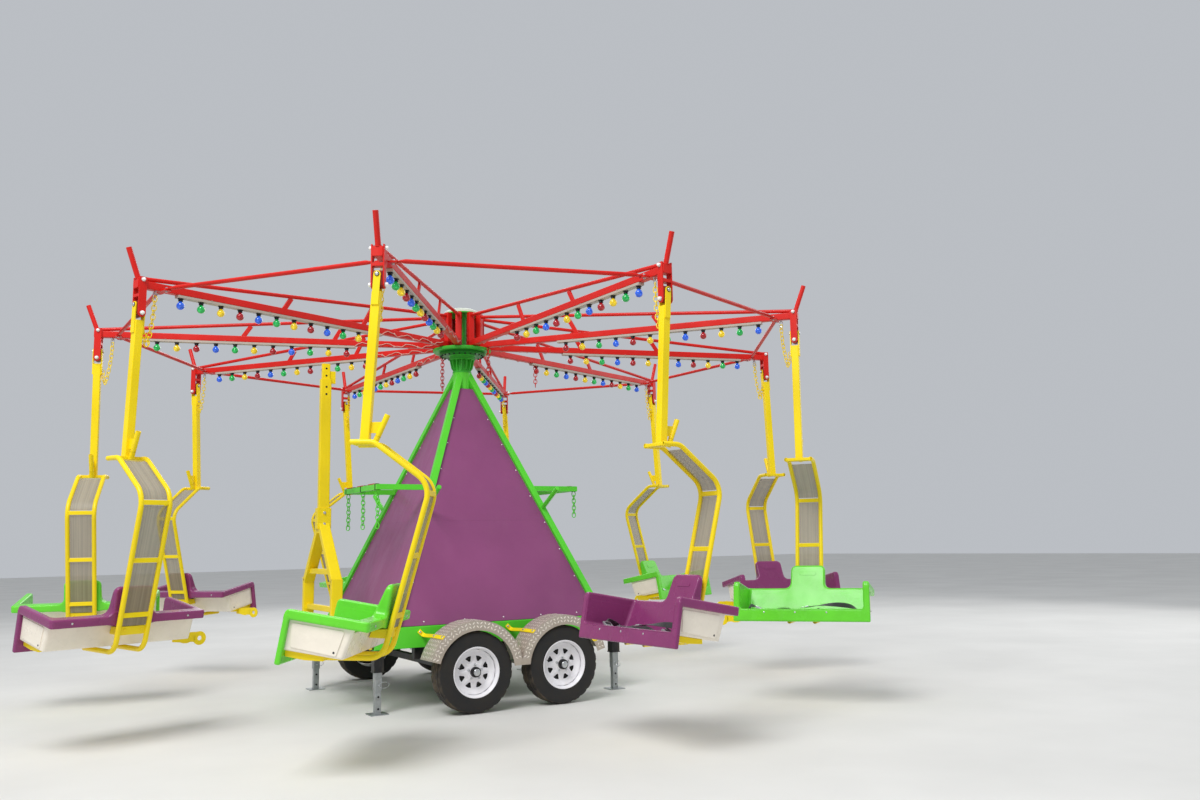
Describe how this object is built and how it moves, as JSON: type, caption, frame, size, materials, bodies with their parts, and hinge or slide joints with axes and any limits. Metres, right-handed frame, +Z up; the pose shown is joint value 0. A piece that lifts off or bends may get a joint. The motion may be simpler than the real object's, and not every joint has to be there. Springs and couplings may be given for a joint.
{
  "type": "chair swing ride",
  "caption": "Trailer-mounted chair swing ride: sheeted tower, turning hub with lattice arms, hanging bench seats on bent frames, folded drawbar and jack legs.",
  "frame": {"origin": "on the ground under the tower axis, the middle of the footprint", "axes": "+Z up, +X along the trailer away from the drawbar, +Y to the flank away from the viewer"},
  "size_m": [7.8568, 8.0914, 3.87],
  "materials": {
    "green_paint": "gloss paint, scuffed",
    "dark_green_paint": "gloss paint",
    "purple_sheet": "painted sheet with fine rivets",
    "red_paint": "gloss paint",
    "dark_red_paint": "gloss paint, worn at the pins",
    "yellow_paint": "gloss paint, scuffed",
    "seat_green": "moulded shell, glossy",
    "seat_purple": "moulded shell, glossy",
    "galvanized": "galvanized",
    "tread_plate": "bright tread plate",
    "tyre": "matt rubber round a white wheel",
    "black_steel": "dusty black paint"
  },
  "bodies": {
    "base": {"chassis": "green_paint", "running_gear": "black_steel", "fender_near": "tread_plate", "fender_far": "tread_plate", "jack_leg_near_left": "galvanized", "jack_leg_far_left": "galvanized", "jack_leg_near_right": "galvanized", "jack_leg_far_right": "galvanized", "tower_frame": "green_paint", "tower_sheet_near": "purple_sheet", "tower_sheet_right": "purple_sheet", "tower_sheet_far": "purple_sheet", "tower_sheet_left": "purple_sheet", "tower_head": "dark_green_paint"},
    "rotor": {"rotor_hub": "dark_green_paint", "arm_1": "red_paint", "arm_2": "red_paint", "arm_3": "red_paint", "arm_4": "red_paint", "arm_5": "red_paint", "arm_6": "red_paint", "arm_7": "red_paint", "arm_8": "red_paint", "arm_9": "red_paint", "arm_10": "red_paint"},
    "drawbar": {"drawbar": "yellow_paint"},
    "wheel_near_left": {"wheel_near_left": "tyre"},
    "wheel_far_left": {"wheel_far_left": "tyre"},
    "wheel_near_right": {"wheel_near_right": "tyre"},
    "wheel_far_right": {"wheel_far_right": "tyre"},
    "knuckle_1": {"knuckle_1": "dark_red_paint"},
    "seat_1": {"hanger_1": "yellow_paint", "seat_shell_1": "seat_green"},
    "knuckle_2": {"knuckle_2": "dark_red_paint"},
    "seat_2": {"hanger_2": "yellow_paint", "seat_shell_2": "seat_purple"},
    "knuckle_3": {"knuckle_3": "dark_red_paint"},
    "seat_3": {"hanger_3": "yellow_paint", "seat_shell_3": "seat_green"},
    "knuckle_4": {"knuckle_4": "dark_red_paint"},
    "seat_4": {"hanger_4": "yellow_paint", "seat_shell_4": "seat_purple"},
    "knuckle_5": {"knuckle_5": "dark_red_paint"},
    "seat_5": {"hanger_5": "yellow_paint", "seat_shell_5": "seat_green"},
    "knuckle_6": {"knuckle_6": "dark_red_paint"},
    "seat_6": {"hanger_6": "yellow_paint", "seat_shell_6": "seat_purple"},
    "knuckle_7": {"knuckle_7": "dark_red_paint"},
    "seat_7": {"hanger_7": "yellow_paint", "seat_shell_7": "seat_green"},
    "knuckle_8": {"knuckle_8": "dark_red_paint"},
    "seat_8": {"hanger_8": "yellow_paint", "seat_shell_8": "seat_purple"},
    "knuckle_9": {"knuckle_9": "dark_red_paint"},
    "seat_9": {"hanger_9": "yellow_paint", "seat_shell_9": "seat_green"},
    "knuckle_10": {"knuckle_10": "dark_red_paint"},
    "seat_10": {"hanger_10": "yellow_paint", "seat_shell_10": "seat_purple"}
  },
  "joints": [
    {"name": "rotor_spin", "type": "hinge", "parent": "base", "child": "rotor", "pos_m": [0, 0, 3.4], "axis": [0, 0, 1], "continuous": true},
    {"name": "wheel_near_left_spin", "type": "hinge", "parent": "base", "child": "wheel_near_left", "pos_m": [-0.506, -1.38, 0.344], "axis": [0, 1, 0], "continuous": true},
    {"name": "wheel_far_left_spin", "type": "hinge", "parent": "base", "child": "wheel_far_left", "pos_m": [-0.506, 1.38, 0.344], "axis": [0, 1, 0], "continuous": true},
    {"name": "wheel_near_right_spin", "type": "hinge", "parent": "base", "child": "wheel_near_right", "pos_m": [0.346, -1.38, 0.344], "axis": [0, 1, 0], "continuous": true},
    {"name": "wheel_far_right_spin", "type": "hinge", "parent": "base", "child": "wheel_far_right", "pos_m": [0.346, 1.38, 0.344], "axis": [0, 1, 0], "continuous": true},
    {"name": "drawbar_fold", "type": "hinge", "parent": "base", "child": "drawbar", "pos_m": [-1.42, 0, 0.575], "axis": [0, -1, 0], "range_deg": [0, 90]},
    {"name": "swing_out_1", "type": "hinge", "parent": "rotor", "child": "knuckle_1", "pos_m": [-1.88254, -2.89112, 3.233], "axis": [-0.838, 0.5457, 0], "range_deg": [-5, 40]},
    {"name": "swing_fore_aft_1", "type": "hinge", "parent": "knuckle_1", "child": "seat_1", "pos_m": [-1.88254, -2.89112, 3.3], "axis": [0.5457, 0.838, 0], "range_deg": [-10, 2.5]},
    {"name": "swing_out_2", "type": "hinge", "parent": "rotor", "child": "knuckle_2", "pos_m": [0.17635, -3.44549, 3.233], "axis": [-0.9987, -0.0511, 0], "range_deg": [-5, 40]},
    {"name": "swing_fore_aft_2", "type": "hinge", "parent": "knuckle_2", "child": "seat_2", "pos_m": [0.17635, -3.44549, 3.3], "axis": [-0.0511, 0.9987, 0], "range_deg": [-10, 2.5]},
    {"name": "swing_out_3", "type": "hinge", "parent": "rotor", "child": "knuckle_3", "pos_m": [2.16788, -2.6838, 3.233], "axis": [-0.7779, -0.6284, 0], "range_deg": [-5, 40]},
    {"name": "swing_fore_aft_3", "type": "hinge", "parent": "knuckle_3", "child": "seat_3", "pos_m": [2.16788, -2.6838, 3.3], "axis": [-0.6284, 0.7779, 0], "range_deg": [-10, 2.5]},
    {"name": "swing_out_4", "type": "hinge", "parent": "rotor", "child": "knuckle_4", "pos_m": [3.33135, -0.897, 3.233], "axis": [-0.26, -0.9656, 0], "range_deg": [-5, 40]},
    {"name": "swing_fore_aft_4", "type": "hinge", "parent": "knuckle_4", "child": "seat_4", "pos_m": [3.33135, -0.897, 3.3], "axis": [-0.9656, 0.26, 0], "range_deg": [-10, 2.5]},
    {"name": "swing_out_5", "type": "hinge", "parent": "rotor", "child": "knuckle_5", "pos_m": [3.22236, 1.23243, 3.233], "axis": [0.3572, -0.934, 0], "range_deg": [-5, 40]},
    {"name": "swing_fore_aft_5", "type": "hinge", "parent": "knuckle_5", "child": "seat_5", "pos_m": [3.22236, 1.23243, 3.3], "axis": [-0.934, -0.3572, 0], "range_deg": [-10, 2.5]},
    {"name": "swing_out_6", "type": "hinge", "parent": "rotor", "child": "knuckle_6", "pos_m": [1.88254, 2.89112, 3.233], "axis": [0.838, -0.5457, 0], "range_deg": [-5, 40]},
    {"name": "swing_fore_aft_6", "type": "hinge", "parent": "knuckle_6", "child": "seat_6", "pos_m": [1.88254, 2.89112, 3.3], "axis": [-0.5457, -0.838, 0], "range_deg": [-10, 2.5]},
    {"name": "swing_out_7", "type": "hinge", "parent": "rotor", "child": "knuckle_7", "pos_m": [-0.17635, 3.44549, 3.233], "axis": [0.9987, 0.0511, 0], "range_deg": [-5, 40]},
    {"name": "swing_fore_aft_7", "type": "hinge", "parent": "knuckle_7", "child": "seat_7", "pos_m": [-0.17635, 3.44549, 3.3], "axis": [0.0511, -0.9987, 0], "range_deg": [-10, 2.5]},
    {"name": "swing_out_8", "type": "hinge", "parent": "rotor", "child": "knuckle_8", "pos_m": [-2.16788, 2.6838, 3.233], "axis": [0.7779, 0.6284, 0], "range_deg": [-5, 40]},
    {"name": "swing_fore_aft_8", "type": "hinge", "parent": "knuckle_8", "child": "seat_8", "pos_m": [-2.16788, 2.6838, 3.3], "axis": [0.6284, -0.7779, 0], "range_deg": [-10, 2.5]},
    {"name": "swing_out_9", "type": "hinge", "parent": "rotor", "child": "knuckle_9", "pos_m": [-3.33135, 0.897, 3.233], "axis": [0.26, 0.9656, 0], "range_deg": [-5, 40]},
    {"name": "swing_fore_aft_9", "type": "hinge", "parent": "knuckle_9", "child": "seat_9", "pos_m": [-3.33135, 0.897, 3.3], "axis": [0.9656, -0.26, 0], "range_deg": [-10, 2.5]},
    {"name": "swing_out_10", "type": "hinge", "parent": "rotor", "child": "knuckle_10", "pos_m": [-3.22236, -1.23243, 3.233], "axis": [-0.3572, 0.934, 0], "range_deg": [-5, 40]},
    {"name": "swing_fore_aft_10", "type": "hinge", "parent": "knuckle_10", "child": "seat_10", "pos_m": [-3.22236, -1.23243, 3.3], "axis": [0.934, 0.3572, 0], "range_deg": [-10, 2.5]}
  ]
}
